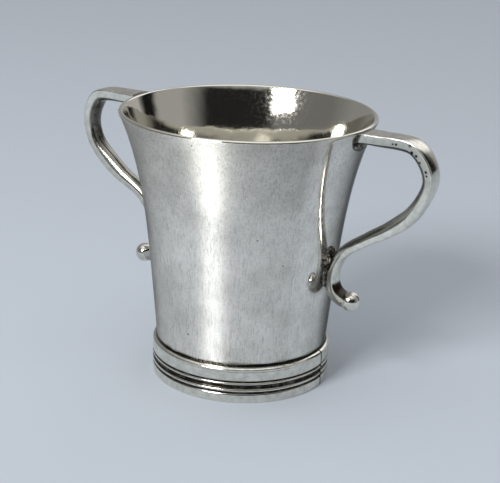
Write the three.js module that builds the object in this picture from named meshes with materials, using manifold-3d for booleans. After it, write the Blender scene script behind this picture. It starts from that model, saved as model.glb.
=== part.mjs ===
// A small silver tot measure: a flared cup on a reeded foot band, with two scroll handles.
// Millimetres, +Z up. The origin is on the cup's axis in the plane that the foot rests on,
// +X runs through one handle and -X through the other.
import * as THREE from 'three';
import { mergeVertices } from 'three/addons/utils/BufferGeometryUtils.js';
import Module from 'manifold-3d';

const wasm = await Module();
wasm.setup();

// The cup. Its outside is a slightly widening cone whose top flares out to the lip.
const CUP_HEIGHT = 45;
const RIM_RADIUS = 21.05;
const CONE_TOP_RADIUS = 17.9;
const WAIST_RADIUS = 14.4;
const FLARE_POWER = 4.3;
const WALL = 0.8;
const LIP_ROUNDING = 0.3;

// The base disc is soldered under the wall's lower edge, inside the foot band.
const BASE_THICKNESS = 0.9;
const BASE_RECESS = 1.5;

// The foot band is a drawn moulding bent into a ring. Its joint is under the +X handle.
const BAND_HEIGHT = 6.2;
const BAND_RADIUS = 15.08;
const BAND_FOOT_CHAMFER = 0.12;
const BAND_JOINT_WIDTH = 0.2;
const BAND_JOINT_ANGLE = THREE.MathUtils.degToRad(4.4);
const LOWER_FACE_TOP = 1.46;
const LOWER_BEAD_FOOT = 1.86;
const LOWER_BEAD_TOP = 2.44;
const UPPER_BEAD_FOOT = 3.1;
const UPPER_BEAD_TOP = 3.55;
const UPPER_FACE_FOOT = 3.86;
const UPPER_FACE_TOP = 5.34;
const TOP_BEAD_FOOT = 5.58;
const FINE_GROOVE_DEPTH = 0.17;
const MIDDLE_GROOVE_DEPTH = 0.34;
const TOP_LAND_WIDTH = 0.3;

// The handles are a pair of tapered bars, each bent into a scroll that ends in a ball.
// The bar touches the cup at its joint. A point of its back line is its stand-off from
// the cup's wall and its drop below the rim, from the root round the belly to the tail.
const JOINT_STAND_OFF = 1.95;
const JOINT_DROP = 24.7;
const ROOT_LINE = [
  [-0.75, 0.1],
  [2.45, 0.08],
];
// The two were bent by hand, so their bellies differ a little.
const BELLY_LINES = {
  right: [
    [8.85, 0.45],
    [12.55, 3],
    [14.6, 6.4],
    [14.42, 9.9],
    [12.85, 13.7],
    [10.05, 16.2],
    [6.9, 18.2],
    [2.86, 21.5],
  ],
  left: [
    [9.15, 0.58],
    [11.9, 2.85],
    [13.67, 6],
    [13.77, 9.75],
    [11.8, 13.6],
    [9.3, 15.85],
    [5.1, 18.4],
    [2.75, 21.55],
  ],
};
const TAIL_LINE = [
  [JOINT_STAND_OFF, JOINT_DROP],
  [2.65, JOINT_DROP + 2.05],
  [4.3, JOINT_DROP + 2.95],
];
// Width across the bar, height of its flat side, and crown of its rounded inner face.
const ROOT_SECTION = { width: 4.5, side: 1.5, crown: 0.5 };
const SHOULDER_SECTION = { width: 3.6, side: 1.3, crown: 0.92 };
const BEND_SECTION = { width: 3.6, side: 1.2, crown: 1.15 };
const BELLY_SECTION = { width: 3.2, side: 1.1, crown: 1.03 };
const SWEEP_SECTION = { width: 3, side: 1.2, crown: 1.47 };
const JOINT_SECTION = { width: 2.7, side: 1, crown: 1.05 };
const CURL_SECTION = { width: 2.5, side: 1, crown: 0.85 };
const TAIL_SECTION = { width: 2.6, side: 1.65, crown: 0.85 };
// Lengths of bar from the root, and the last three from the tail, over which these change.
const ROOT_LENGTH = 8;
const BEND_LENGTH = 12.8;
const BELLY_START = 17;
const BELLY_END = 20.5;
const SWEEP_LENGTH = 20;
const JOINT_LENGTH = 12.5;
const CURL_LENGTH = 5.7;
const ARRIS = 0.22;
const BALL_RADIUS = 1.62;
const BALL_OVERHANG = 0.92;
const BALL_DEPTH = 0.42;

// The solder that shows: under each root, in each lower joint, above the band, inside the base.
const ROOT_SOLDER = { out: 1.5, across: 1.9, down: 1.7 };
const JOINT_SOLDER = { out: 1.7, across: 2.1, down: 1.5 };
const JOINT_SOLDER_RISE = 3.1;
const BAND_SOLDER_HEIGHT = 0.55;
const BAND_SOLDER_WIDTH = 0.32;
const BASE_SOLDER_SIZE = 0.7;

// Clearance between curved pieces that are soldered together.
const SEAT_GAP = 0.2;

const ROUND_STEPS = 72;
const WALL_STEPS = 12;
const BAR_STEPS = 44;
const CROWN_STEPS = 5;
const BALL_STEPS = 20;

const silver = { metalness: 1, color: 0xc9cbcc };
const satinSilver = new THREE.MeshStandardMaterial({ ...silver, roughness: 0.38 });
const polishedSilver = new THREE.MeshStandardMaterial({ ...silver, roughness: 0.14 });
const solderSilver = new THREE.MeshStandardMaterial({ color: 0x77766f, metalness: 1, roughness: 0.5 });

const baseTop = BASE_RECESS + BASE_THICKNESS;

const lipFoot = CUP_HEIGHT - LIP_ROUNDING;

// Outside radius of the wall at a height.
function wallRadius(z) {
  const rise = (z - BAND_HEIGHT) / (lipFoot - BAND_HEIGHT);
  const flare = Math.pow(Math.max(rise, 0), FLARE_POWER);
  return WAIST_RADIUS + (CONE_TOP_RADIUS - WAIST_RADIUS) * rise + (RIM_RADIUS - CONE_TOP_RADIUS) * flare;
}

function lathe(points, steps = ROUND_STEPS) {
  const profile = points.map(([radius, z]) => new THREE.Vector2(radius, z));
  return new THREE.LatheGeometry(profile, steps).rotateX(Math.PI / 2);
}

function ring(points) {
  return lathe([...points, points[0]]);
}

function solid(geometry) {
  const bare = geometry.clone();
  bare.deleteAttribute('normal');
  bare.deleteAttribute('uv');
  const merged = mergeVertices(bare, 1e-4);
  const shape = { numProp: 3, vertProperties: merged.attributes.position.array };
  return new wasm.Manifold(new wasm.Mesh({ ...shape, triVerts: merged.index.array }));
}

function geometryOf(manifold) {
  const mesh = manifold.getMesh();
  const geometry = new THREE.BufferGeometry();
  geometry.setAttribute('position', new THREE.BufferAttribute(mesh.vertProperties, 3));
  geometry.setIndex(new THREE.BufferAttribute(mesh.triVerts, 1));
  geometry.computeVertexNormals();
  return geometry;
}

// Heights up the wall, closer together where it flares.
function wallHeights(foot, top) {
  const steps = Array.from({ length: WALL_STEPS + 1 }, (_, i) => i / WALL_STEPS);
  return steps.map((share) => foot + (top - foot) * Math.sin((share * Math.PI) / 2));
}

function bodyWall() {
  const outside = wallHeights(baseTop, lipFoot).map((z) => [wallRadius(z), z]);
  const inside = wallHeights(baseTop, lipFoot).map((z) => [wallRadius(z) - WALL, z]).reverse();
  const lip = [
    [RIM_RADIUS - LIP_ROUNDING, CUP_HEIGHT],
    [RIM_RADIUS - WALL + LIP_ROUNDING, CUP_HEIGHT],
  ];
  return ring([...outside, ...lip, ...inside]);
}

function baseDisc() {
  const radius = wallRadius(baseTop);
  return lathe([[0, BASE_RECESS], [radius, BASE_RECESS], [radius, baseTop], [0, baseTop]]);
}

function baseSolder() {
  const outer = wallRadius(baseTop) - WALL - SEAT_GAP;
  const height = baseTop + BASE_SOLDER_SIZE;
  return ring([[outer - BASE_SOLDER_SIZE, baseTop], [outer, baseTop], [outer, height]]);
}

const bandBore = wallRadius(baseTop) + SEAT_GAP;
const bandMouth = wallRadius(BAND_HEIGHT) + SEAT_GAP;

function footBand() {
  const fine = BAND_RADIUS - FINE_GROOVE_DEPTH;
  const outline = [
    [bandBore, 0],
    [BAND_RADIUS - BAND_FOOT_CHAMFER, 0],
    [BAND_RADIUS, BAND_FOOT_CHAMFER],
    [BAND_RADIUS, LOWER_FACE_TOP],
    [fine, (LOWER_FACE_TOP + LOWER_BEAD_FOOT) / 2],
    [BAND_RADIUS - FINE_GROOVE_DEPTH / 2, LOWER_BEAD_FOOT],
    [BAND_RADIUS, (LOWER_BEAD_FOOT + LOWER_BEAD_TOP) / 2],
    [BAND_RADIUS - FINE_GROOVE_DEPTH / 2, LOWER_BEAD_TOP],
    [BAND_RADIUS - MIDDLE_GROOVE_DEPTH, LOWER_BEAD_TOP + FINE_GROOVE_DEPTH],
    [BAND_RADIUS - MIDDLE_GROOVE_DEPTH, UPPER_BEAD_FOOT - FINE_GROOVE_DEPTH],
    [BAND_RADIUS - FINE_GROOVE_DEPTH / 2, UPPER_BEAD_FOOT],
    [BAND_RADIUS, (UPPER_BEAD_FOOT + UPPER_BEAD_TOP) / 2],
    [BAND_RADIUS - FINE_GROOVE_DEPTH / 2, UPPER_BEAD_TOP],
    [fine, (UPPER_BEAD_TOP + UPPER_FACE_FOOT) / 2],
    [BAND_RADIUS, UPPER_FACE_FOOT],
    [BAND_RADIUS, UPPER_FACE_TOP],
    [fine, (UPPER_FACE_TOP + TOP_BEAD_FOOT) / 2],
    [BAND_RADIUS, TOP_BEAD_FOOT],
    [BAND_RADIUS, (TOP_BEAD_FOOT + BAND_HEIGHT) / 2],
    [bandMouth + TOP_LAND_WIDTH, BAND_HEIGHT],
    [bandMouth, BAND_HEIGHT],
    [bandBore, baseTop],
  ];
  const joint = new THREE.BoxGeometry(BAND_RADIUS, BAND_JOINT_WIDTH, 3 * BAND_HEIGHT);
  joint.translate(BAND_RADIUS, 0, 0).rotateZ(BAND_JOINT_ANGLE);
  return geometryOf(solid(ring(outline)).subtract(solid(joint)));
}

function bandSolder() {
  const inner = bandMouth;
  const top = BAND_HEIGHT + BAND_SOLDER_HEIGHT;
  const lean = wallRadius(top) - wallRadius(BAND_HEIGHT);
  return ring([[inner, BAND_HEIGHT], [inner + BAND_SOLDER_WIDTH, BAND_HEIGHT], [inner + lean, top]]);
}

function backLine(side) {
  const points = [...ROOT_LINE, ...BELLY_LINES[side], ...TAIL_LINE].map(([standOff, drop]) => {
    const z = CUP_HEIGHT - drop;
    return new THREE.Vector3(wallRadius(z) + standOff, 0, z);
  });
  return new THREE.CatmullRomCurve3(points);
}

// The section at a distance from the root of a bar.
function sectionAt(distance, length) {
  const stops = [
    [0, ROOT_SECTION],
    [ROOT_LENGTH, SHOULDER_SECTION],
    [BEND_LENGTH, BEND_SECTION],
    [BELLY_START, BELLY_SECTION],
    [BELLY_END, BELLY_SECTION],
    [length - SWEEP_LENGTH, SWEEP_SECTION],
    [length - JOINT_LENGTH, JOINT_SECTION],
    [length - CURL_LENGTH, CURL_SECTION],
    [length, TAIL_SECTION],
  ];
  const passed = stops.filter(([stop]) => stop < distance).length;
  const above = THREE.MathUtils.clamp(passed, 1, stops.length - 1);
  const [start, from] = stops[above - 1];
  const [end, to] = stops[above];
  const blend = Math.min((distance - start) / (end - start), 1);
  const mix = (key) => THREE.MathUtils.lerp(from[key], to[key], blend);
  return { width: mix('width'), side: mix('side'), crown: mix('crown') };
}

// Points of one cross section, as [depth in from the back line, offset along Y].
function sectionPoints({ width, side, crown }, grow) {
  const half = width / 2 + grow;
  const back = -grow;
  const points = [
    [back + ARRIS, -half],
    [back, -half + ARRIS],
    [back, half - ARRIS],
    [back + ARRIS, half],
  ];
  for (let i = 0; i <= CROWN_STEPS; i += 1) {
    const angle = (Math.PI * i) / CROWN_STEPS;
    points.push([side + (crown + grow) * Math.sin(angle), half * Math.cos(angle)]);
  }
  return points;
}

// The bar swept along its back line, larger by grow all round.
function barGeometry(line, grow = 0) {
  const positions = [];
  const indices = [];
  const length = line.getLength();
  let ringSize = 0;
  for (let i = 0; i <= BAR_STEPS; i += 1) {
    const share = i / BAR_STEPS;
    const point = line.getPointAt(share);
    const along = line.getTangentAt(share);
    const points = sectionPoints(sectionAt(share * length, length), grow);
    ringSize = points.length;
    for (const [depth, across] of points) {
      positions.push(point.x + along.z * depth, across, point.z - along.x * depth);
    }
  }
  for (let i = 0; i < BAR_STEPS; i += 1) {
    for (let j = 0; j < ringSize; j += 1) {
      const a = i * ringSize + j;
      const b = i * ringSize + ((j + 1) % ringSize);
      indices.push(a, a + ringSize, b, b, a + ringSize, b + ringSize);
    }
  }
  const last = BAR_STEPS * ringSize;
  for (let j = 1; j < ringSize - 1; j += 1) {
    indices.push(0, j, j + 1);
    indices.push(last, last + j + 1, last + j);
  }
  const geometry = new THREE.BufferGeometry();
  geometry.setAttribute('position', new THREE.Float32BufferAttribute(positions, 3));
  geometry.setIndex(indices);
  return geometry;
}

function ballCentre(line) {
  const point = line.getPointAt(1);
  const along = line.getTangentAt(1);
  const seat = new THREE.Vector3(along.z, 0, -along.x).multiplyScalar(BALL_DEPTH);
  return point.add(seat).addScaledVector(along, BALL_OVERHANG);
}

function ballTerminal(line, grow = 0) {
  const { x, y, z } = ballCentre(line);
  const steps = [BALL_STEPS, BALL_STEPS / 2];
  return new THREE.SphereGeometry(BALL_RADIUS + grow, ...steps).rotateX(Math.PI / 2).translate(x, y, z);
}

// The cup as one full body, wider by the seat's gap, for cutting what is soldered to it.
function cupEnvelope() {
  const outside = wallHeights(baseTop, CUP_HEIGHT).map((z) => [wallRadius(z) + SEAT_GAP, z]);
  const above = 2 * CUP_HEIGHT;
  return lathe([[0, baseTop], ...outside, [RIM_RADIUS + SEAT_GAP, above], [0, above]]);
}

const cupCutter = solid(cupEnvelope());

function handleBar(line) {
  const bar = solid(barGeometry(line)).subtract(cupCutter);
  return geometryOf(bar.subtract(solid(ballTerminal(line, SEAT_GAP))));
}

// A blob of solder in the corner between the cup and a bar.
function solderBlob(line, size, x, z) {
  const blob = new THREE.SphereGeometry(size.out, BALL_STEPS, BALL_STEPS / 2);
  blob.scale(1, size.across / size.out, size.down / size.out).translate(x, 0, z);
  const barCutter = solid(barGeometry(line, SEAT_GAP));
  return geometryOf(solid(blob).subtract(cupCutter).subtract(barCutter));
}

function rootSolder(line) {
  const z = CUP_HEIGHT - ROOT_SECTION.side - ROOT_SECTION.crown;
  return solderBlob(line, ROOT_SOLDER, wallRadius(z), z);
}

function jointSolder(line) {
  const z = CUP_HEIGHT - JOINT_DROP + JOINT_SOLDER_RISE;
  return solderBlob(line, JOINT_SOLDER, wallRadius(z) + SEAT_GAP, z);
}

const totMeasure = new THREE.Group();

function place(parent, name, geometry, material) {
  const mesh = new THREE.Mesh(geometry, material);
  mesh.name = name;
  parent.add(mesh);
}

place(totMeasure, 'body_wall', bodyWall(), satinSilver);
place(totMeasure, 'base_disc', baseDisc(), satinSilver);
place(totMeasure, 'base_solder', baseSolder(), solderSilver);
place(totMeasure, 'foot_band', footBand(), polishedSilver);
place(totMeasure, 'foot_band_solder', bandSolder(), solderSilver);

for (const [side, turn] of [['right', 0], ['left', Math.PI]]) {
  const line = backLine(side);
  const handle = new THREE.Group();
  handle.rotation.z = turn;
  place(handle, `handle_bar_${side}`, handleBar(line), polishedSilver);
  place(handle, `ball_terminal_${side}`, ballTerminal(line), polishedSilver);
  place(handle, `root_solder_${side}`, rootSolder(line), solderSilver);
  place(handle, `joint_solder_${side}`, jointSolder(line), solderSilver);
  totMeasure.add(handle);
}

export default totMeasure;
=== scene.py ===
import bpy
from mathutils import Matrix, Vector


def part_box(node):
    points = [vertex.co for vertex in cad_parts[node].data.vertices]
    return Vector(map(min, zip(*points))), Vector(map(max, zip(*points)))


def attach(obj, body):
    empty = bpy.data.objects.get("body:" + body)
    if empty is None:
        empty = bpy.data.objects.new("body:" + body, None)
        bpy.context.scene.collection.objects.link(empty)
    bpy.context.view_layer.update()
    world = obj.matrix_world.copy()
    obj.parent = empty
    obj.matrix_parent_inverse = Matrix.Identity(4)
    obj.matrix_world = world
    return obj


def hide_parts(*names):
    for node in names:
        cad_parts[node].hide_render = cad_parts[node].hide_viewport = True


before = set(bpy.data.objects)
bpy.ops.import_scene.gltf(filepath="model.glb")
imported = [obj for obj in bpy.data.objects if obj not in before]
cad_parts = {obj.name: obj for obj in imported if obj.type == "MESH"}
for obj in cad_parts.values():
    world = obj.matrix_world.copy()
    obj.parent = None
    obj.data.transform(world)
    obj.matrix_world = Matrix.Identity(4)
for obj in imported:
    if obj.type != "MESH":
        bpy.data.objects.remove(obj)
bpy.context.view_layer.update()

import math

import bmesh
import bpy
import numpy as np
from mathutils import Matrix, Vector, noise

# The cup. A widening cone of sheet silver, seamed and hammered up, with its top beaten out
# to a flared, slightly thickened lip. Years of cleaning have left the outside a soft,
# finely scratched skin, while the inside and the lip stay bright.
MM = 0.001
CUP_HEIGHT = 45.0
LIP_FOOT = 44.7
BAND_TOP = 6.2
BASE_TOP = 2.4
WALL = 0.8
LIP_RADIUS = 0.4
RIM_RADIUS = 21.05
LIP_LEAN = math.radians(24)
ROUND_STEPS = 288


def wall_radius(height):
    """The wall's outer radius at a height, in millimetres."""
    rise = (height - BAND_TOP) / (LIP_FOOT - BAND_TOP)
    return 14.4 + 3.5 * rise + 3.15 * max(rise, 0.0) ** 4.3


def arc(centre, radius, start, end, steps):
    """Points of an arc as (radius from the axis, height), angles in radians from outwards."""
    angles = np.linspace(start, end, steps)
    return [(centre[0] + radius * math.cos(a), centre[1] + radius * math.sin(a)) for a in angles]


def add(tree, kind, links=None, **settings):
    """Adds a node. links gives each input, by name or number, a socket to follow or a value."""
    made = tree.nodes.new(kind)
    for key, value in settings.items():
        setattr(made, key, value)
    for key, value in (links or {}).items():
        if isinstance(value, bpy.types.NodeSocket):
            tree.links.new(value, made.inputs[key])
        else:
            made.inputs[key].default_value = value
    return made


def linear(hexadecimal):
    """An sRGB colour such as "C0C0C0" as linear RGBA."""
    parts = [int(hexadecimal[i:i + 2], 16) / 255 for i in (0, 2, 4)]
    return [p / 12.92 if p <= 0.04045 else ((p + 0.055) / 1.055) ** 2.4 for p in parts] + [1.0]


def new_tree(name, sizes):
    """A Geometry Nodes tree with named inputs, each given as (socket kind, default)."""
    tree = bpy.data.node_groups.new(name, "GeometryNodeTree")
    tree.interface.new_socket("Geometry", in_out="INPUT", socket_type="NodeSocketGeometry")
    for label, (kind, default) in sizes.items():
        socket = tree.interface.new_socket(label, in_out="INPUT", socket_type="NodeSocket" + kind)
        if default is not None:
            socket.default_value = default
    tree.interface.new_socket("Geometry", in_out="OUTPUT", socket_type="NodeSocketGeometry")
    return tree


def grown(name, source, tree, sizes):
    """The plain mesh that a tree makes of a source object, as a new object at the origin."""
    modifier = source.modifiers.new(name, "NODES")
    modifier.node_group = tree
    for socket in tree.interface.items_tree:
        if socket.in_out == "INPUT" and socket.name in sizes:
            modifier[socket.identifier] = sizes[socket.name]
    graph = bpy.context.evaluated_depsgraph_get()
    mesh = bpy.data.meshes.new_from_object(source.evaluated_get(graph), depsgraph=graph)
    source.modifiers.remove(modifier)
    bpy.data.objects.remove(source)
    mesh.name = name
    piece = bpy.data.objects.new(name, mesh)
    bpy.context.scene.collection.objects.link(piece)
    return piece


def outline(name, points, closed, marks=None):
    """Points in millimetres joined by edges, with named numbers on them."""
    count = len(points)
    edges = [(i, i + 1) for i in range(count - 1)] + ([(count - 1, 0)] if closed else [])
    mesh = bpy.data.meshes.new(name)
    mesh.from_pydata([Vector(p) * MM for p in points], edges, [])
    for label, values in (marks or {}).items():
        values = np.asarray(values, dtype=np.float32)
        kind, field = ("FLOAT_VECTOR", "vector") if values.ndim == 2 else ("FLOAT", "value")
        mesh.attributes.new(label, kind, "POINT").data.foreach_set(field, values.ravel())
    made = bpy.data.objects.new(name, mesh)
    bpy.context.scene.collection.objects.link(made)
    return made


# Turned pieces: a profile of radius and height swept round the cup's axis. A joint gap
# leaves the ring open there, and the waviness is what the hammer left.
turned = new_tree("Turned piece", {
    "Segments": ("Int", 288),
    "Joint Angle": ("Float", 0.0),
    "Joint Gap": ("Float", 0.0),
    "Waviness": ("Float", 0.0),
    "Wave Length": ("Float", 0.006),
    "Seed": ("Float", 1.0),
    "Outside": ("Material", None),
    "Inside": ("Material", None),
})
given = add(turned, "NodeGroupInput").outputs
half_gap = add(turned, "ShaderNodeMath", {0: given["Joint Gap"], 1: 0.5}, operation="MULTIPLY")
start = add(turned, "ShaderNodeMath", {0: given["Joint Angle"], 1: half_gap.outputs[0]})
sweep = add(turned, "ShaderNodeMath", {0: math.tau, 1: given["Joint Gap"]}, operation="SUBTRACT")
round_way = add(turned, "GeometryNodeCurveArc", {
    "Resolution": given["Segments"], "Radius": 0.01,
    "Start Angle": start.outputs[0], "Sweep Angle": sweep.outputs[0],
})
share = add(turned, "GeometryNodeSplineParameter").outputs["Factor"]
turn = add(turned, "ShaderNodeMath", {
    0: share, 1: sweep.outputs[0], 2: start.outputs[0],
}, operation="MULTIPLY_ADD")
round_angle = add(turned, "GeometryNodeCaptureAttribute", {0: round_way.outputs[0]})
round_angle.capture_items.new("FLOAT", "Angle")
turned.links.new(turn.outputs[0], round_angle.inputs["Angle"])
profile = add(turned, "GeometryNodeMeshToCurve", {0: given["Geometry"]})
profile_place = add(turned, "GeometryNodeCaptureAttribute", {0: profile.outputs[0]})
profile_place.capture_items.new("VECTOR", "Place")
here = add(turned, "GeometryNodeInputPosition").outputs[0]
turned.links.new(here, profile_place.inputs["Place"])
joined = add(turned, "ShaderNodeMath", {0: given["Joint Gap"], 1: 0.0}, operation="GREATER_THAN")
swept = add(turned, "GeometryNodeCurveToMesh", {
    "Curve": round_angle.outputs[0], "Profile Curve": profile_place.outputs[0],
    "Fill Caps": joined.outputs[0],
})
across = add(turned, "ShaderNodeVectorRotate", {
    "Vector": profile_place.outputs["Place"], "Angle": round_angle.outputs["Angle"],
}, rotation_type="Z_AXIS")
placed = add(turned, "GeometryNodeSetPosition", {
    "Geometry": swept.outputs[0], "Position": across.outputs[0],
})
closed = add(turned, "GeometryNodeMergeByDistance", {
    "Geometry": placed.outputs[0], "Distance": 0.000002,
})
wave_scale = add(turned, "ShaderNodeMath", {0: 1.0, 1: given["Wave Length"]}, operation="DIVIDE")
wave = add(turned, "ShaderNodeTexNoise", {
    "W": given["Seed"], "Scale": wave_scale.outputs[0], "Detail": 1.0,
}, noise_dimensions="4D")
inward = add(turned, "ShaderNodeMath", {
    0: wave.outputs["Fac"], 1: given["Waviness"],
}, operation="MULTIPLY")
inward = add(turned, "ShaderNodeMath", {0: inward.outputs[0], 1: -1.0}, operation="MULTIPLY")
level = add(turned, "ShaderNodeVectorMath", {
    0: add(turned, "GeometryNodeInputPosition").outputs[0], 1: (1.0, 1.0, 0.0),
}, operation="MULTIPLY")
outwards = add(turned, "ShaderNodeVectorMath", {0: level.outputs[0]}, operation="NORMALIZE")
shift = add(turned, "ShaderNodeVectorMath", {
    0: outwards.outputs[0], "Scale": inward.outputs[0],
}, operation="SCALE")
beaten = add(turned, "GeometryNodeSetPosition", {
    "Geometry": closed.outputs[0], "Offset": shift.outputs[0],
})
smooth = add(turned, "GeometryNodeSetShadeSmooth", {"Geometry": beaten.outputs[0]})
real = add(turned, "GeometryNodeRealizeInstances", {"Geometry": smooth.outputs[0]})
skinned = add(turned, "GeometryNodeSetMaterial", {
    "Geometry": real.outputs[0], "Material": given["Outside"],
})
marked_inside = add(turned, "GeometryNodeInputNamedAttribute", {"Name": "inside"}, data_type="FLOAT")
is_inside = add(turned, "ShaderNodeMath", {
    0: marked_inside.outputs[0], 1: 0.99,
}, operation="GREATER_THAN")
lined = add(turned, "GeometryNodeSetMaterial", {
    "Geometry": skinned.outputs[0], "Selection": is_inside.outputs[0],
    "Material": given["Inside"],
})
add(turned, "NodeGroupOutput", {0: lined.outputs[0]})


def new_finish(name, colour, metallic, roughness):
    """A material with its tree, its shader and the piece's own coordinates in millimetres."""
    material = bpy.data.materials.new(name)
    material.use_nodes = True
    tree = material.node_tree
    shader = tree.nodes["Principled BSDF"]
    shader.inputs["Base Color"].default_value = linear(colour)
    shader.inputs["Metallic"].default_value = metallic
    shader.inputs["Roughness"].default_value = roughness
    own = add(tree, "ShaderNodeTexCoord").outputs["Object"]
    place = add(tree, "ShaderNodeVectorMath", {0: own, "Scale": 1 / MM}, operation="SCALE")
    return material, tree, shader, place.outputs[0]


# Worn sterling silver: cloudy from handling, with a fine upright grain from polishing,
# stray scratches and a few dark specks. It blurs what it mirrors, least behind the handles.
satin, tree, shader, place = new_finish("Worn sterling silver", "E2E2DF", 0.86, 0.34)
shader.inputs["Specular Tint"].default_value = linear("585A5C")
shader.inputs["Anisotropic"].default_value = 0.95
shader.inputs["Anisotropic Rotation"].default_value = 0.25
round_axis = add(tree, "ShaderNodeTangent", direction_type="RADIAL", axis="Z").outputs[0]
tree.links.new(round_axis, shader.inputs["Tangent"])
clouds = add(tree, "ShaderNodeTexNoise", {
    "Vector": place, "Scale": 1 / 6, "Detail": 6.0, "Roughness": 0.62,
}).outputs["Fac"]
grain_place = add(tree, "ShaderNodeMapping", {
    "Vector": place, "Scale": (1 / 0.3, 1 / 0.3, 1 / 6),
}).outputs[0]
grain = add(tree, "ShaderNodeTexNoise", {
    "Vector": grain_place, "Scale": 1.0, "Detail": 3.0, "Roughness": 0.55,
}).outputs["Fac"]
scratch_heights = []
for seed, lean in enumerate((12, -28, 71, -64)):
    slanted = add(tree, "ShaderNodeMapping", {
        "Vector": place, "Location": (seed * 17.0, seed * 5.0, 0.0),
        "Rotation": (math.radians(lean), math.radians(lean * 0.6), 0.0),
        "Scale": (1 / 0.22, 1 / 0.22, 1 / 7),
    }).outputs[0]
    fibre = add(tree, "ShaderNodeTexNoise", {
        "Vector": slanted, "Scale": 1.0, "Detail": 1.0,
    }).outputs["Fac"]
    scratch_heights.append(add(tree, "ShaderNodeMapRange", {
        "Value": fibre, "From Min": 0.3, "From Max": 0.36, "To Min": 1.0, "To Max": 0.0,
    }).outputs[0])
scratches = scratch_heights[0]
for other in scratch_heights[1:]:
    scratches = add(tree, "ShaderNodeMath", {0: scratches, 1: other}, operation="MAXIMUM").outputs[0]
specks = add(tree, "ShaderNodeTexVoronoi", {"Vector": place, "Scale": 1 / 4.5}).outputs["Distance"]
speck_mask = add(tree, "ShaderNodeMapRange", {
    "Value": specks, "From Min": 0.02, "From Max": 0.045, "To Min": 1.0, "To Max": 0.0,
}).outputs[0]
fine = add(tree, "ShaderNodeTexNoise", {
    "Vector": place, "Scale": 1 / 0.35, "Detail": 4.0, "Roughness": 0.7,
}).outputs["Fac"]
mottle = add(tree, "ShaderNodeMath", {0: fine, 1: 0.7, 2: clouds}, operation="MULTIPLY_ADD").outputs[0]
tone = add(tree, "ShaderNodeMapRange", {
    "Value": mottle, "From Min": 0.6, "From Max": 1.06,
}).outputs[0]
cloudy = add(tree, "ShaderNodeMix", {
    "Factor": tone, 6: linear("D3D1C9"), 7: linear("F9F7F0"),
}, data_type="RGBA").outputs[2]
scratched = add(tree, "ShaderNodeMath", {0: scratches, 1: 0.3}, operation="MULTIPLY").outputs[0]
lined_colour = add(tree, "ShaderNodeMix", {
    "Factor": scratched, 6: cloudy, 7: linear("8E908F"),
}, data_type="RGBA").outputs[2]
speckled = add(tree, "ShaderNodeMix", {
    "Factor": speck_mask, 6: lined_colour, 7: linear("3C3A36"),
}, data_type="RGBA").outputs[2]
height = add(tree, "ShaderNodeSeparateXYZ", {0: place}).outputs[2]
ragged = add(tree, "ShaderNodeMath", {
    0: clouds, 1: 1.1, 2: height,
}, operation="MULTIPLY_ADD").outputs[0]
band_dirt = add(tree, "ShaderNodeMapRange", {
    "Value": ragged, "From Min": 6.9, "From Max": 7.5, "To Min": 0.85, "To Max": 0.0,
}).outputs[0]
dirtied = add(tree, "ShaderNodeMix", {
    "Factor": band_dirt, 6: speckled, 7: linear("2A2620"),
}, data_type="RGBA").outputs[2]
# A dark brown patch on the wall round each lower joint: painted reflection of the shaded tail and ball
# mirrored there.
either_side = add(tree, "ShaderNodeVectorMath", {0: place}, operation="ABSOLUTE").outputs[0]
from_joint = add(tree, "ShaderNodeVectorMath", {
    0: either_side, 1: (14.9, 2.2, 19.6),
}, operation="DISTANCE").outputs["Value"]
ragged = add(tree, "ShaderNodeMath", {
    0: fine, 1: 2.4, 2: from_joint,
}, operation="MULTIPLY_ADD").outputs[0]
# The painted reflection's strength: up to 0.6 at the joint, fading out with a ragged edge.
joint_painted_reflection = add(tree, "ShaderNodeMapRange", {
    "Value": ragged, "From Min": 2.3, "From Max": 4.2, "To Min": 0.6, "To Max": 0.0,
}).outputs[0]
reflection_darkened = add(tree, "ShaderNodeMix", {
    "Factor": joint_painted_reflection, 6: dirtied, 7: linear("5E5145"),
}, data_type="RGBA").outputs[2]
tree.links.new(reflection_darkened, shader.inputs["Base Color"])
rubbed = add(tree, "ShaderNodeTexNoise", {
    "Vector": place, "Scale": 1 / 0.22, "Detail": 4.0, "Roughness": 0.6,
}).outputs["Fac"]
haze = add(tree, "ShaderNodeMath", {0: rubbed, 1: grain}, operation="ADD").outputs[0]
rough = add(tree, "ShaderNodeMapRange", {
    "Value": haze, "From Min": 0.75, "From Max": 1.25, "To Min": 0.29, "To Max": 0.38,
}).outputs[0]
level = add(tree, "ShaderNodeVectorMath", {
    0: place, 1: (1.0, 1.0, 0.0),
}, operation="MULTIPLY").outputs[0]
outwards = add(tree, "ShaderNodeVectorMath", {0: level}, operation="NORMALIZE").outputs[0]
# Behind the handles the wall is sheltered and shinier, and below the lip it is handled most.
sideways = add(tree, "ShaderNodeSeparateXYZ", {0: outwards}).outputs[1]
sideways = add(tree, "ShaderNodeMath", {0: sideways}, operation="ABSOLUTE").outputs[0]
sheltered = add(tree, "ShaderNodeMapRange", {
    "Value": sideways, "From Min": 0.34, "From Max": 0.52, "To Min": 0.13, "To Max": 1.0,
}).outputs[0]
rough = add(tree, "ShaderNodeMath", {0: rough, 1: sheltered}, operation="MULTIPLY").outputs[0]
handled = add(tree, "ShaderNodeMapRange", {
    "Value": height, "From Min": 30.0, "From Max": 43.0, "To Min": 1.05, "To Max": 1.9,
}).outputs[0]
rough = add(tree, "ShaderNodeMath", {0: rough, 1: handled}, operation="MULTIPLY").outputs[0]
tree.links.new(rough, shader.inputs["Roughness"])
relief = add(tree, "ShaderNodeMath", {
    0: scratches, 1: -0.8, 2: grain,
}, operation="MULTIPLY_ADD").outputs[0]
bump = add(tree, "ShaderNodeBump", {"Height": relief, "Strength": 0.23, "Distance": 0.00001})
tree.links.new(bump.outputs[0], shader.inputs["Normal"])

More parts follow.
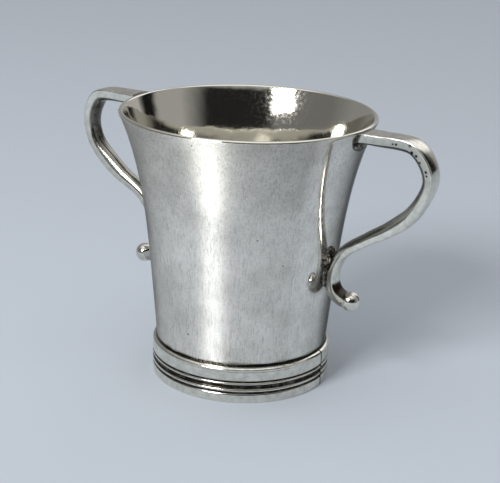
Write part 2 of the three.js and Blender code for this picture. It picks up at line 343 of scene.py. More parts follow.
# Burnished sterling silver: the inside of the bowl, bright as a mirror and a little warm.
# The planishing hammer's soft facets make what it mirrors waver.
bright, tree, shader, place = new_finish("Burnished sterling silver", "E0DDD2", 1.0, 0.05)
facets = add(tree, "ShaderNodeTexNoise", {
    "Vector": place, "Scale": 1 / 5, "Detail": 2.0,
}).outputs["Fac"]
wipes = add(tree, "ShaderNodeTexNoise", {
    "Vector": place, "Scale": 1 / 0.5, "Detail": 3.0,
}).outputs["Fac"]
rough = add(tree, "ShaderNodeMapRange", {
    "Value": wipes, "From Min": 0.4, "From Max": 0.75, "To Min": 0.06, "To Max": 0.15,
}).outputs[0]
tree.links.new(rough, shader.inputs["Roughness"])
bump = add(tree, "ShaderNodeBump", {"Height": facets, "Strength": 0.6, "Distance": 0.0001})
tree.links.new(bump.outputs[0], shader.inputs["Normal"])

WALL_HEIGHTS = (33.0, 35.5, 38.5, 41.0)
WALL_THICKNESS = (0.56, 0.6, 0.76, WALL)
LIP_START = 43.9
outer_heights = BASE_TOP + (LIP_START - BASE_TOP) * np.sin(np.linspace(0, math.pi / 2, 64))
outer_wall = [(wall_radius(z), z) for z in outer_heights]
lip_centre = (RIM_RADIUS - LIP_RADIUS, CUP_HEIGHT - LIP_RADIUS)
lip = arc(lip_centre, LIP_RADIUS, -LIP_LEAN, math.pi - LIP_LEAN, 17)
inner_wall = [(r - np.interp(z, WALL_HEIGHTS, WALL_THICKNESS), z) for r, z in reversed(outer_wall)]
wall_profile = outer_wall + lip + inner_wall
satin_points = len(outer_wall) + 3
inside = [0.0] * satin_points + [1.0] * (len(wall_profile) - satin_points)
source = outline("wall_profile", [(r, 0, z) for r, z in wall_profile], True, {"inside": inside})
body_wall = grown("silver_cup_wall", source, turned, {
    "Segments": ROUND_STEPS + 1, "Waviness": 0.00002, "Wave Length": 0.008, "Seed": 3.0,
    "Outside": satin, "Inside": bright,
})
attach(body_wall, "root")
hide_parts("body_wall")

# The base: a flat disc of the same sheet, set up inside the foot and soldered under the
# wall. Its fillet of solder rounds the corner inside the bowl.
BASE_UNDER = 1.5
base_radius = wall_radius(BASE_TOP) - 0.05
source = outline("base_profile", [(r, 0, z) for r, z in (
    [(0, BASE_UNDER)] + [(r, BASE_UNDER) for r in np.linspace(1, base_radius, 12)]
    + [(base_radius, BASE_TOP)] + [(r, BASE_TOP) for r in np.linspace(base_radius - 1, 1, 12)]
    + [(0, BASE_TOP)]
)], False)
base_disc = grown("silver_base_disc", source, turned, {
    "Segments": ROUND_STEPS + 1, "Waviness": 0.0, "Outside": bright,
})
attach(base_disc, "root")
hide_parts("base_disc")

# The base's solder: a thin bright fillet that ran round the corner inside the bowl.
FILLET = 0.73
corner = wall_radius(BASE_TOP) - WALL + 0.03
hollow = arc((corner - FILLET, BASE_TOP + FILLET), FILLET, 0, -math.pi / 2, 9)
source = outline("fillet_profile", [(r, 0, z) for r, z in (
    hollow + [(corner - FILLET, BASE_TOP - 0.1), (corner + 0.1, BASE_TOP - 0.1)]
    + [(corner + 0.1, BASE_TOP + FILLET)]
)], True)
base_fillet = grown("silver_solder_in_bowl", source, turned, {
    "Segments": ROUND_STEPS + 1, "Outside": bright,
})
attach(base_fillet, "root")
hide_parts("base_solder")

# Polished sterling silver, for the mouldings: brighter than the cup because only its high
# parts are rubbed when it is cleaned. Brown-black tarnish stays in the hollows, and on the
# handle bars the same dark also paints shade and reflection.
def polished(name, darkening_mask):
    """darkening_mask gives a socket that is 1 where it darkens: in the hollows, and on the bars also
    painted shade, from the tree and the place.
    """
    finish, tree, shader, place = new_finish(name, "D2D1CC", 1.0, 0.12)
    mottle = add(tree, "ShaderNodeTexNoise", {
        "Vector": place, "Scale": 1 / 1.1, "Detail": 5.0, "Roughness": 0.6,
    }).outputs["Fac"]
    hollow = darkening_mask(tree, place)
    patchy = add(tree, "ShaderNodeMapRange", {
        "Value": mottle, "From Min": 0.3, "From Max": 0.6, "To Min": 0.75, "To Max": 1.0,
    }).outputs[0]
    # Tarnish in the hollows; on the handle bars this also carries painted shade and painted reflection.
    tarnish_and_painted_shade = add(tree, "ShaderNodeMath", {0: hollow, 1: patchy}, operation="MULTIPLY").outputs[0]
    worn = add(tree, "ShaderNodeMapRange", {
        "Value": mottle, "From Min": 0.35, "From Max": 0.65,
    }).outputs[0]
    skin = add(tree, "ShaderNodeMix", {
        "Factor": worn, 6: linear("CBC9BF"), 7: linear("E8E6DD"),
    }, data_type="RGBA").outputs[2]
    colour = add(tree, "ShaderNodeMix", {
        "Factor": tarnish_and_painted_shade, 6: skin, 7: linear("2B261D"),
    }, data_type="RGBA").outputs[2]
    tree.links.new(colour, shader.inputs["Base Color"])
    rubs = add(tree, "ShaderNodeTexNoise", {
        "Vector": place, "Scale": 1 / 0.25, "Detail": 3.0,
    }).outputs["Fac"]
    shine = add(tree, "ShaderNodeMapRange", {
        "Value": rubs, "From Min": 0.35, "From Max": 0.7, "To Min": 0.08, "To Max": 0.2,
    }).outputs[0]
    dulled = add(tree, "ShaderNodeMath", {
        0: tarnish_and_painted_shade, 1: 0.12, 2: shine,
    }, operation="MULTIPLY_ADD").outputs[0]
    tree.links.new(dulled, shader.inputs["Roughness"])
    bump = add(tree, "ShaderNodeBump", {"Height": mottle, "Strength": 0.25, "Distance": 0.00003})
    tree.links.new(bump.outputs[0], shader.inputs["Normal"])
    return finish


# The foot band: a drawn silver moulding of two flat bands, two beads between them and a
# rounded top edge, bent into a ring and soldered on. Its butt joint, under one handle, is
# an open dark line with the beads a hair out of step.
BAND_RADIUS = 15.08
JOINT_ANGLE = math.radians(4.4)
JOINT_WIDTH = 0.34
OUT_OF_STEP = 0.09
bore = wall_radius(BASE_TOP) + 0.03
mouth = wall_radius(BAND_TOP) + 0.03


def flat_band(foot, top):
    """A band's face, very slightly rounded, between its two heights."""
    return [(BAND_RADIUS - 0.03 * (2 * share - 1) ** 2, foot + (top - foot) * share)
            for share in np.linspace(0, 1, 9)]


band_profile = (
    [(bore, 0), (BAND_RADIUS - 0.5, 0)]
    + arc((BAND_RADIUS - 0.15, 0.12), 0.12, -math.pi / 2, 0, 5)[:-1] + flat_band(0.13, 1.44)
    + [(14.99, 1.5), (14.93, 1.58), (14.91, 1.66), (14.92, 1.76)]
    + arc((BAND_RADIUS - 0.28, 2.13), 0.28, -1.25, 1.25, 9)
    + [(14.84, 2.46), (14.77, 2.53), (14.745, 2.64), (14.74, 2.77)]
    + [(14.745, 2.9), (14.77, 3.01), (14.84, 3.08)]
    + arc((BAND_RADIUS - 0.215, 3.3), 0.215, -1.25, 1.25, 9)
    + [(14.92, 3.58), (14.91, 3.68), (14.93, 3.77), (14.99, 3.83)]
    + flat_band(3.88, 5.3)
    + [(15.04, 5.35), (15.02, 5.4), (15.03, 5.47), (15.06, 5.56)]
    + arc((14.9, 5.68), 0.18, 0.0, 0.6, 4)[:-1] + arc((14.344, 5.306), 0.85, 0.6, 1.26, 12)
    + [(mouth + 0.05, BAND_TOP), (mouth, BAND_TOP - 0.03), (bore, BASE_TOP)]
)


def band_hollows(tree, place):
    """What lies deeper than the bands and beads. The top edge, which slopes in, is rubbed too."""
    level = add(tree, "ShaderNodeVectorMath", {
        0: place, 1: (1.0, 1.0, 0.0),
    }, operation="MULTIPLY").outputs[0]
    radius = add(tree, "ShaderNodeVectorMath", {0: level}, operation="LENGTH").outputs["Value"]
    height = add(tree, "ShaderNodeSeparateXYZ", {0: place}).outputs[2]
    top_edge = add(tree, "ShaderNodeMath", {0: height, 1: 5.6}, operation="GREATER_THAN").outputs[0]
    radius = add(tree, "ShaderNodeMath", {
        0: top_edge, 1: 0.38, 2: radius,
    }, operation="MULTIPLY_ADD").outputs[0]
    return add(tree, "ShaderNodeMapRange", {
        "Value": radius, "From Min": 14.93, "From Max": 15.03, "To Min": 1.1, "To Max": 0.0,
    }).outputs[0]


band_finish = polished("Polished silver moulding", band_hollows)
source = outline("band_profile", [(r, 0, z) for r, z in band_profile], True)
foot_band = grown("reeded_foot_band", source, turned, {
    "Segments": ROUND_STEPS + 1, "Joint Angle": JOINT_ANGLE, "Joint Gap": JOINT_WIDTH / BAND_RADIUS,
    "Waviness": 0.00001, "Wave Length": 0.009, "Outside": band_finish,
})
for vertex in foot_band.data.vertices:
    angle = (math.atan2(vertex.co.y, vertex.co.x) - JOINT_ANGLE) % math.tau
    share = max(0.0, 1 - angle / math.radians(16))
    vertex.co.z += OUT_OF_STEP * MM * share ** 2 * math.sin(math.pi * vertex.co.z / (BAND_TOP * MM))
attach(foot_band, "root")
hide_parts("foot_band")

# Old silver solder: greyer than the silver it joins, with dark tarnish in its creases. The
# line above the band is nearly black with the polish that has dried in it.
def old_solder(name, creases, ridges, crust_size, relief):
    """creases and ridges are colours, and crust_size and relief are in millimetres."""
    finish, tree, shader, place = new_finish(name, ridges, 1.0, 0.4)
    crust = add(tree, "ShaderNodeTexNoise", {
        "Vector": place, "Scale": 1 / crust_size, "Detail": 5.0, "Roughness": 0.6,
    }).outputs["Fac"]
    grimed = add(tree, "ShaderNodeMapRange", {
        "Value": crust, "From Min": 0.42, "From Max": 0.66,
    }).outputs[0]
    colour = add(tree, "ShaderNodeMix", {
        "Factor": grimed, 6: linear(creases), 7: linear(ridges),
    }, data_type="RGBA").outputs[2]
    tree.links.new(colour, shader.inputs["Base Color"])
    rough = add(tree, "ShaderNodeMapRange", {
        "Value": crust, "To Min": 0.5, "To Max": 0.12,
    }).outputs[0]
    tree.links.new(rough, shader.inputs["Roughness"])
    bump = add(tree, "ShaderNodeBump", {"Height": crust, "Strength": 0.6, "Distance": relief * MM})
    tree.links.new(bump.outputs[0], shader.inputs["Normal"])
    return finish


solder = old_solder("Tarnished silver solder", "2A261F", "A3A097", 0.9, 0.05)
seam_solder = old_solder("Blackened solder seam", "0E0C09", "4A473F", 0.35, 0.07)

# The foot band's solder: a thin uneven line of it shows above the band, dark with dirt.
seam_top = 6.68
source = outline("seam_profile", [(r, 0, z) for r, z in (
    [(mouth - 0.12, 6.05), (mouth + 0.26, 6.1), (mouth + 0.22, 6.25), (mouth + 0.1, 6.38)]
    + [(wall_radius(seam_top) + 0.05, seam_top - 0.1), (wall_radius(seam_top) - 0.02, seam_top)]
)], True)
band_seam = grown("solder_above_band", source, turned, {
    "Segments": ROUND_STEPS + 1, "Waviness": 0.00016, "Wave Length": 0.0022, "Seed": 8.0,
    "Outside": seam_solder,
})
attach(band_seam, "root")
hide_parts("foot_band_solder")

# The handles: two cast silver bars, flat outside and rounded inside with crisp arrises,
# each bent into a scroll. The root is soldered to the wall just under the lip, the bar
# touches again low down, and its tail swells and curls out to carry a ball.
HANDLES = (("right", 0.0), ("left", math.pi))
# A line's points are how far they stand off the wall and how far they lie below the rim.
JOINT_STAND_OFF = 1.95
ROOT_LINE = [(-0.7, 0.14), (2.45, 0.1)]
BELLY_LINES = {
    "right": [
        (8.85, 0.47), (12.55, 3.0), (14.6, 6.4), (14.42, 9.9), (12.85, 13.7), (10.05, 16.2),
        (6.9, 18.2), (2.86, 21.5),
    ],
    "left": [
        (9.15, 0.58), (11.9, 2.85), (13.65, 6.0), (13.75, 9.75), (11.62, 13.48), (9.08, 15.66),
        (4.94, 18.22), (2.75, 21.55),
    ],
}
TAIL_LINE = [(JOINT_STAND_OFF, 24.7), (2.65, 26.75), (4.3, 27.65), (5.15, 28.0)]
# Distance from the root or, in the second list, from the tail, half width, side and crown.
FROM_ROOT = [
    (0, 2.25, 1.5, 0.5), (8, 1.8, 1.3, 0.92), (12.8, 1.8, 1.2, 1.15), (17, 1.6, 1.1, 1.03),
    (20.5, 1.6, 1.1, 1.03),
]
FROM_TAIL = [
    (20.9, 1.5, 1.2, 1.47), (13.4, 1.35, 1.0, 1.05), (6.6, 1.25, 1.0, 0.85),
    (1.4, 1.4, 1.1, 1.35), (0, 1.56, 0.5, 1.5),
]
BAR_STEPS = 420
FINE_STEPS = 60
LINE_REACH, SIZE_REACH = 5, 20
ARRIS = 0.2


def scroll_line(points, steps):
    """Evenly spaced points of the smooth line through the given ones."""
    ends = [2 * points[0] - points[1]] + list(points) + [2 * points[-1] - points[-2]]
    line = []
    for p0, p1, p2, p3 in zip(ends, ends[1:], ends[2:], ends[3:]):
        gaps = [math.sqrt(np.linalg.norm(b - a)) for a, b in ((p0, p1), (p1, p2), (p2, p3))]
        t0, t1, t2, t3 = np.cumsum([0] + gaps)
        for t in np.linspace(t1, t2, FINE_STEPS, endpoint=False):
            a1 = p0 * (t1 - t) / (t1 - t0) + p1 * (t - t0) / (t1 - t0)
            a2 = p1 * (t2 - t) / (t2 - t1) + p2 * (t - t1) / (t2 - t1)
            a3 = p2 * (t3 - t) / (t3 - t2) + p3 * (t - t2) / (t3 - t2)
            b1 = a1 * (t2 - t) / (t2 - t0) + a2 * (t - t0) / (t2 - t0)
            b2 = a2 * (t3 - t) / (t3 - t1) + a3 * (t - t1) / (t3 - t1)
            line.append(b1 * (t2 - t) / (t2 - t1) + b2 * (t - t1) / (t2 - t1))
    line = np.array(line + [points[-1]])
    return evenly(line, steps)


def evenly(line, steps):
    """The same line in equal steps, and its length."""
    run = np.concatenate([[0], np.cumsum(np.linalg.norm(np.diff(line, axis=0), axis=1))])
    marks = np.linspace(0, run[-1], steps)
    return np.stack([np.interp(marks, run, line[:, k]) for k in range(line.shape[1])], 1), run[-1]


def eased(values, reach):
    """Values along a bar with their corners smoothed over a reach of steps."""
    weights = np.hanning(2 * reach + 3)[1:-1]
    before = 2 * values[:1] - values[reach:0:-1]
    after = 2 * values[-1:] - values[-2:-reach - 2:-1]
    padded = np.concatenate([before, values, after])
    weights = weights / weights.sum()
    return np.apply_along_axis(lambda v: np.convolve(v, weights, "valid"), 0, padded)


scrolled = new_tree("Scroll bar", {
    "Section": ("Object", None), "Turn": ("Float", 0.0), "Skin": ("Material", None),
})
given = add(scrolled, "NodeGroupInput").outputs
way = add(scrolled, "GeometryNodeMeshToCurve", {0: given["Geometry"]})
frame_of_way = add(scrolled, "GeometryNodeCaptureAttribute", {0: way.outputs[0]})
frame_of_way.capture_items.new("VECTOR", "Place")
frame_of_way.capture_items.new("VECTOR", "Heading")
here = add(scrolled, "GeometryNodeInputPosition").outputs[0]
scrolled.links.new(here, frame_of_way.inputs["Place"])
heading = add(scrolled, "GeometryNodeInputTangent").outputs[0]
scrolled.links.new(heading, frame_of_way.inputs["Heading"])
section = add(scrolled, "GeometryNodeObjectInfo", {"Object": given["Section"]})
section_line = add(scrolled, "GeometryNodeMeshToCurve", {0: section.outputs["Geometry"]})
swept = add(scrolled, "GeometryNodeCurveToMesh", {
    "Curve": frame_of_way.outputs[0], "Profile Curve": section_line.outputs[0], "Fill Caps": True,
})
size, shares, rounding = [
    add(scrolled, "GeometryNodeInputNamedAttribute", {
        "Name": name,
    }, data_type="FLOAT_VECTOR").outputs[0]
    for name in ("bar_size", "section_share", "section_rounding")
]
spread = add(scrolled, "ShaderNodeVectorMath", {
    0: size, 1: shares, 2: rounding,
}, operation="MULTIPLY_ADD")
parts = add(scrolled, "ShaderNodeSeparateXYZ", {0: spread.outputs[0]}).outputs
depth = add(scrolled, "ShaderNodeMath", {0: parts[1], 1: parts[2]}).outputs[0]
sideways = add(scrolled, "ShaderNodeCombineXYZ", {"Y": parts[0]}).outputs[0]
inwards = add(scrolled, "ShaderNodeVectorMath", {
    0: (0.0, 1.0, 0.0), 1: frame_of_way.outputs["Heading"],
}, operation="CROSS_PRODUCT").outputs[0]
deep = add(scrolled, "ShaderNodeVectorMath", {0: inwards, "Scale": depth}, operation="SCALE").outputs[0]
offset = add(scrolled, "ShaderNodeVectorMath", {0: deep, 1: sideways}).outputs[0]
at = add(scrolled, "ShaderNodeVectorMath", {
    0: offset, 1: (MM, MM, MM), 2: frame_of_way.outputs["Place"],
}, operation="MULTIPLY_ADD").outputs[0]
shaped = add(scrolled, "GeometryNodeSetPosition", {"Geometry": swept.outputs[0], "Position": at})
turn_about = add(scrolled, "ShaderNodeCombineXYZ", {"Z": given["Turn"]}).outputs[0]
turned_bar = add(scrolled, "GeometryNodeTransform", {
    "Geometry": shaped.outputs[0], "Rotation": turn_about,
})
smooth = add(scrolled, "GeometryNodeSetShadeSmooth", {"Geometry": turned_bar.outputs[0]})
real = add(scrolled, "GeometryNodeRealizeInstances", {"Geometry": smooth.outputs[0]})
skinned = add(scrolled, "GeometryNodeSetMaterial", {
    "Geometry": real.outputs[0], "Material": given["Skin"],
})
add(scrolled, "NodeGroupOutput", {0: skinned.outputs[0]})

# One turn round the bar's section: half width share, side share, crown share, and what is
# taken off across and in. The outside and the sides are a little full, not quite flat.
OUTSIDE_FULLNESS = 0.08
SIDE_FULLNESS = 0.05
CROWN_START = math.radians(14)
section_points = []
corner_depth = OUTSIDE_FULLNESS + ARRIS
for angle in np.linspace(0, math.pi / 2, 6):
    edge = ARRIS - ARRIS * math.cos(angle)
    section_points.append((-1, 0, 0, edge, corner_depth - ARRIS * math.sin(angle)))
section_points += [(c, 0, 0, 0, OUTSIDE_FULLNESS * c ** 2) for c in np.linspace(-0.75, 0.75, 7)]
for angle in np.linspace(math.pi / 2, 0, 6):
    edge = ARRIS * math.cos(angle) - ARRIS
    section_points.append((1, 0, 0, edge, corner_depth - ARRIS * math.sin(angle)))
side_points = [(1 - SIDE_FULLNESS * share ** 2, share, 0, 0, corner_depth * (1 - share))
               for share in np.linspace(0.08, 0.94, 11)]
section_points += side_points
for angle in np.linspace(CROWN_START, math.pi - CROWN_START, 25):
    across = (1 - SIDE_FULLNESS) * math.cos(angle) / math.cos(CROWN_START)
    crown = (math.sin(angle) - math.sin(CROWN_START)) / (1 - math.sin(CROWN_START))
    section_points.append((across, 1, crown, 0, 0))
section_points += [(-across, *rest) for across, *rest in reversed(side_points)]
section_points = np.array(section_points)
section_shape = [(p[0] * 2, p[3], p[1] + p[2]) for p in section_points]
taken_off = section_points[:, 3:]
section_source = outline("bar_section", section_shape, True, {
    "section_share": section_points[:, :3],
    "section_rounding": np.hstack([taken_off, 0 * taken_off[:, :1]]),
})


def handle_tarnish_and_shade(tree, place):
    """The tarnish and painted shade that is worked out below for each point of a bar."""
    return add(tree, "ShaderNodeAttribute", attribute_name="tarnish_and_painted_shade").outputs["Fac"]


handle_finish = polished("Polished silver casting", handle_tarnish_and_shade)
# Casting pits on the near side of the right bar: x, z and radius, with one depth for all.
PITS = [
    (26.6, 43.95, 0.17), (27.15, 43.97, 0.21), (29.4, 44.1, 0.23), (29.75, 43.07, 0.29),
    (30.5, 42.67, 0.24), (31.15, 41.75, 0.17), (32.25, 40.44, 0.24), (32.4, 39.85, 0.19),
]
PIT_DEPTH = 0.13
PITTED_FACE = 1.7
for side, turn in HANDLES:
    through = [
        np.array([wall_radius(CUP_HEIGHT - drop) + stand_off, CUP_HEIGHT - drop])
        for stand_off, drop in ROOT_LINE + BELLY_LINES[side] + TAIL_LINE
    ]
    line, length = scroll_line(through, BAR_STEPS)
    line = eased(line, LINE_REACH)
    run = np.linspace(0, length, BAR_STEPS)
    stops = FROM_ROOT + [(length - stop, *rest) for stop, *rest in FROM_TAIL]
    marks, *widths = zip(*stops)
    sizes = eased(np.stack([np.interp(run, marks, width) for width in widths], 1), SIZE_REACH)
    source = outline(f"bar_line_{side}", [(x, 0, z) for x, z in line], False, {"bar_size": sizes})
    bar = grown(f"scroll_handle_{side}", source, scrolled, {
        "Section": section_source, "Turn": turn, "Skin": handle_finish,
    })
    mesh = bar.data
    count = len(mesh.vertices)
    places = np.empty(count * 3, np.float32)
    mesh.vertices.foreach_get("co", places)
    places = places.reshape(-1, 3).astype(float)
    tarnish_and_painted_shade = np.zeros(count)
    if side == "right":
        for x, z, radius in PITS:
            middle = np.array([x, -PITTED_FACE, z]) * MM
            away = np.linalg.norm((places - middle) * (1, 0.35, 1), axis=1) / (radius * MM)
            hit = (away < 1) & (places[:, 1] < (0.5 - PITTED_FACE) * MM)
            places[hit, 1] += (PIT_DEPTH * MM) * (1 - away[hit] ** 2)
            tarnish_and_painted_shade[hit] = np.maximum(tarnish_and_painted_shade[hit], 1.8 * (1 - away[hit] ** 4))
    mesh.vertices.foreach_set("co", places.ravel())
    # Darker where the bar nears the wall, which is painted shade, and on its crown, more in
    # the bend, which is painted reflection. It is also darker on the outside face in the curl,
    # and a little darker on the sides, high on the right bar and low on the left.
    height = places[:, 2] / MM
    from_wall = np.hypot(places[:, 0], places[:, 1]) / MM - np.array([wall_radius(z) for z in height])
    # Painted shade: darker where the bar comes within 0.85 mm of the wall.
    tarnish_and_painted_shade = np.maximum(tarnish_and_painted_shade, np.clip(1 - (from_wall - 0.35) / 0.5, 0, 1))
    shares = np.empty(count * 3, np.float32)
    mesh.attributes["section_share"].data.foreach_get("vector", shares)
    side_share, crown_share = shares[1::3], shares[2::3]
    in_bend = np.clip((height - 34) / 2, 0, 1)
    # Painted reflection: the crown darker, more in the bend, for the dark it mirrors there.
    tarnish_and_painted_shade = np.maximum(tarnish_and_painted_shade, (0.55 + 0.35 * in_bend) * np.clip(crown_share / 0.3, 0, 1))
    in_curl = np.clip((19.5 - height) / 0.6, 0, 1) * np.clip((height - 16.3) / 0.3, 0, 1)
    tarnish_and_painted_shade = np.maximum(tarnish_and_painted_shade, 1.35 * in_curl * (side_share < 0.04))
    if side == "right":
        side_darkening = 0.22 * np.clip((height - 36) / 5, 0, 1)
    else:
        side_darkening = 0.3 * np.clip((39.5 - height) / 3, 0, 1)
    tarnish_and_painted_shade = np.maximum(tarnish_and_painted_shade, side_darkening * (side_share > 0.02))
    mesh.attributes.new("tarnish_and_painted_shade", "FLOAT", "POINT").data.foreach_set("value", tarnish_and_painted_shade)
    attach(bar, "root")
    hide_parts(f"handle_bar_{side}")
bpy.data.objects.remove(section_source)

# The ball terminals: cast silver balls soldered on the ends of the scrolls, a little
# flattened where the tail runs into them.
for side, turn in HANDLES:
    low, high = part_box(f"ball_terminal_{side}")
    centre, radius = (Vector(low) + Vector(high)) / 2, (high[2] - low[2]) / 2
    shell = bmesh.new()
    bmesh.ops.create_icosphere(shell, subdivisions=6, radius=radius)
    for vertex in shell.verts:
        dent = noise.noise(vertex.co / (1.3 * MM) + Vector((turn, 0, 0)))
        vertex.co *= 0.995 - 0.005 * dent
        vertex.co += centre
    for face in shell.faces:
        face.smooth = True
    mesh = bpy.data.meshes.new(f"ball_{side}")
    shell.to_mesh(mesh)
    shell.free()
    mesh.materials.append(handle_finish)
    ball = bpy.data.objects.new(f"ball_end_{side}", mesh)
    bpy.context.scene.collection.objects.link(ball)
    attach(ball, "root")
    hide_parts(f"ball_terminal_{side}")

# The handles' solder: a lump in the corner under each root, and a rougher one above each
# lower joint, run into one another while they were molten.
def solder_lump(name, balls, seed, turn):
    """One skin round several drops, each given as its place and its three radii in millimetres."""
    shell = bmesh.new()
    for place, radii in balls:
        matrix = Matrix.Translation(Vector(place) * MM) @ Matrix.Diagonal((*(r * MM for r in radii), 1))
        bmesh.ops.create_icosphere(shell, subdivisions=4, radius=1.0, matrix=matrix)
    mesh = bpy.data.meshes.new(name + "_drops")
    shell.to_mesh(mesh)
    shell.free()
    drops = bpy.data.objects.new(name + "_drops", mesh)
    bpy.context.scene.collection.objects.link(drops)
    skin = drops.modifiers.new("one skin", "REMESH")
    skin.mode, skin.voxel_size = "VOXEL", 0.07 * MM
    flow = drops.modifiers.new("flow", "SMOOTH")
    flow.factor, flow.iterations = 0.6, 8
    graph = bpy.context.evaluated_depsgraph_get()
    mesh = bpy.data.meshes.new_from_object(drops.evaluated_get(graph), depsgraph=graph)
    bpy.data.objects.remove(drops)
    mesh.name = name
    quarter = Matrix.Rotation(turn, 3, "Z")
    normals = [vertex.normal.copy() for vertex in mesh.vertices]
    for vertex, normal in zip(mesh.vertices, normals):
        lump = noise.noise(vertex.co / (0.7 * MM) + Vector((seed, 0, 0)))
        vertex.co += normal * (0.08 * MM) * lump
        deepest = (wall_radius(vertex.co.z / MM) - 0.5 * WALL) * MM
        vertex.co.x = max(vertex.co.x, math.sqrt(deepest ** 2 - vertex.co.y ** 2))
        vertex.co = quarter @ vertex.co
    for face in mesh.polygons:
        face.use_smooth = True
    mesh.materials.clear()
    mesh.materials.append(solder)
    piece = bpy.data.objects.new(name, mesh)
    bpy.context.scene.collection.objects.link(piece)
    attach(piece, "root")
    return piece


for side, turn in HANDLES:
    root = solder_lump(f"solder_at_root_{side}", [
        ((wall_radius(42.9) - 0.1, 0, 42.75), (1.15, 1.75, 1.3)),
        ((wall_radius(43.2) - 0.2, -1.45, 43.5), (0.95, 1.05, 0.95)),
        ((wall_radius(43.2) - 0.2, 1.5, 43.4), (0.85, 1.0, 0.9)),
    ], turn + 2.0, turn)
    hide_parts(f"root_solder_{side}")
    low = solder_lump(f"solder_at_joint_{side}", [
        ((wall_radius(22.2) + 0.3, -0.35, 22.3), (0.62, 1.3, 1.75)),
        ((wall_radius(24.2) + 0.1, 0.2, 24.2), (0.6, 1.3, 0.8)),
        ((wall_radius(23.2) + 0.05, -1.3, 23.0), (0.55, 0.7, 0.95)),
        ((wall_radius(19.9) + 0.1, -0.6, 19.9), (0.5, 0.95, 1.7)),
    ], turn + 9.0, turn)
    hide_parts(f"joint_solder_{side}")

# The studio: a plain pale floor, grey walls under a pale tent, one soft box and the camera
# at the photograph's angle. None of it belongs to the object.
floor_mesh = bpy.data.meshes.new("studio_floor")
floor_mesh.from_pydata([(-3, -3, 0), (3, -3, 0), (3, 3, 0), (-3, 3, 0)], [], [(0, 1, 2, 3)])
floor = bpy.data.objects.new("studio_floor", floor_mesh)
bpy.context.scene.collection.objects.link(floor)
floor_finish, tree, shader, place = new_finish("Pale studio paper", "B9C1CB", 0.0, 0.9)
floor_mesh.materials.append(floor_finish)

# The light: a pale tent over plain grey walls, with a dark card behind the camera and one
# beyond the right handle, so that the silver has something dark to mirror.
world = bpy.data.worlds.new("Studio light")
world.use_nodes = True
tree = world.node_tree
direction = add(tree, "ShaderNodeTexCoord").outputs["Generated"]
way = add(tree, "ShaderNodeSeparateXYZ", {0: direction}).outputs
azimuth = add(tree, "ShaderNodeMath", {0: way[1], 1: way[0]}, operation="ARCTAN2").outputs[0]
turn_share = add(tree, "ShaderNodeMapRange", {
    "Value": azimuth, "From Min": -math.pi, "From Max": math.pi,
}).outputs[0]
# The walls and cards, all neutral: azimuth in degrees and grey.
WALLS = [
    (-180, "A8A8A8"), (-150, "8A8A8A"), (-90, "8A8A8A"), (-78, "2C2C2C"), (-15, "2C2C2C"),
    (15, "C4C4C4"), (45, "C4C4C4"), (52, "1C1C1C"), (64, "1C1C1C"), (72, "D8D8D8"),
    (150, "A8A8A8"), (180, "A8A8A8"),
]
ramp = add(tree, "ShaderNodeValToRGB", {0: turn_share})
stops = ramp.color_ramp.elements
while len(stops) < len(WALLS):
    stops.new(0.5)
for stop, (turn, grey) in zip(stops, WALLS):
    stop.position = (turn + 180) / 360
    stop.color = linear(grey)
overhead = add(tree, "ShaderNodeMapRange", {
    "Value": way[2], "From Min": 0.6, "From Max": 0.68,
}).outputs[0]
tent = add(tree, "ShaderNodeMix", {
    "Factor": overhead, 6: ramp.outputs[0], 7: linear("E0E0E0"),
}, data_type="RGBA").outputs[2]
top = add(tree, "ShaderNodeMapRange", {
    "Value": way[2], "From Min": 0.8, "From Max": 0.86, "To Min": 0.7, "To Max": 1.5,
}).outputs[0]
# A brighter patch high on the back wall, for the gleam on the handle's bend.
PATCH_AZIMUTH, PATCH_LEVEL, PATCH_RISE = math.radians(88), 0.83, 0.55
patch = Vector((
    math.cos(PATCH_AZIMUTH) * PATCH_LEVEL, math.sin(PATCH_AZIMUTH) * PATCH_LEVEL, PATCH_RISE,
))
nearness = add(tree, "ShaderNodeVectorMath", {
    0: direction, 1: patch,
}, operation="DOT_PRODUCT").outputs["Value"]
gleam = add(tree, "ShaderNodeMapRange", {
    "Value": nearness, "From Min": 0.93, "From Max": 0.97, "To Min": 1.0, "To Max": 2.6,
}).outputs[0]
strength = add(tree, "ShaderNodeMath", {0: top, 1: gleam}, operation="MULTIPLY").outputs[0]
background = tree.nodes["Background"]
tree.links.new(tent, background.inputs["Color"])
tree.links.new(strength, background.inputs["Strength"])
bpy.context.scene.world = world

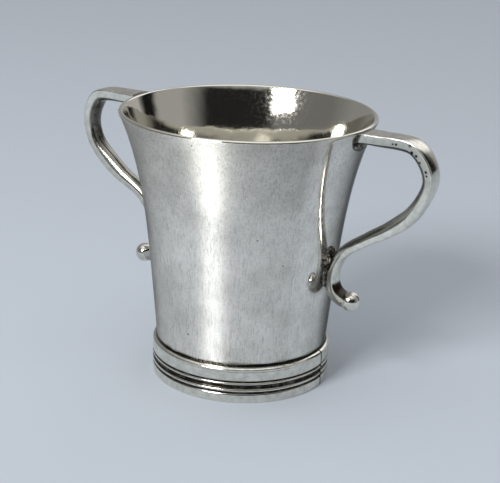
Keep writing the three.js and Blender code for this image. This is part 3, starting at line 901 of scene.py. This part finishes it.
# One soft box lights the cup from the front left. Its distance and size are in metres.
LAMP_AZIMUTH, LAMP_RISE, LAMP_DISTANCE = math.radians(-97), math.radians(33), 0.8
LAMP_WIDTH, LAMP_HEIGHT, LAMP_POWER = 0.28, 0.24, 5.2
out = Vector((
    math.cos(LAMP_AZIMUTH) * math.cos(LAMP_RISE), math.sin(LAMP_AZIMUTH) * math.cos(LAMP_RISE),
    math.sin(LAMP_RISE),
))
facing = out.to_track_quat("Z", "Y").to_matrix().to_4x4()
middle = Matrix.Translation(out * LAMP_DISTANCE + Vector((0, 0, CUP_HEIGHT / 2)) * MM)
lamp = bpy.data.lights.new("soft_box", "AREA")
lamp.shape, lamp.size, lamp.size_y = "RECTANGLE", LAMP_WIDTH, LAMP_HEIGHT
lamp.energy = LAMP_POWER
soft_box = bpy.data.objects.new("soft_box", lamp)
soft_box.matrix_world = middle @ facing
bpy.context.scene.collection.objects.link(soft_box)
bpy.context.scene.view_settings.view_transform = "Standard"

# The camera, with its distance in millimetres from the cup's middle.
IMAGE_WIDTH = 500
FOCAL_PIXELS = 1295.2
camera_data = bpy.data.cameras.new("camera")
camera_data.sensor_width = 36.0
camera_data.lens = FOCAL_PIXELS * camera_data.sensor_width / IMAGE_WIDTH
camera_data.clip_start = 0.01
camera_data.clip_end = 20.0
camera = bpy.data.objects.new("camera", camera_data)
bpy.context.scene.collection.objects.link(camera)
CAMERA_TURN = math.radians(30.9)
CAMERA_RISE = 0.32255
CAMERA_DISTANCE = 216.78
level_back = Vector((math.sin(CAMERA_TURN), -math.cos(CAMERA_TURN), 0))
back = level_back * math.cos(CAMERA_RISE) + Vector((0, 0, math.sin(CAMERA_RISE)))
aim = back.to_track_quat("Z", "Y").to_matrix()
pan = Matrix.Rotation(-0.00463, 3, "Z")
tilt_and_roll = Matrix.Rotation(0.00054, 3, "X") @ Matrix.Rotation(0.03557, 3, "Z")
camera.matrix_world = Matrix.Translation(
    (Vector((0, 0, CUP_HEIGHT / 2)) + back * CAMERA_DISTANCE) * MM
) @ (pan @ aim @ tilt_and_roll).to_4x4()
bpy.context.scene.camera = camera
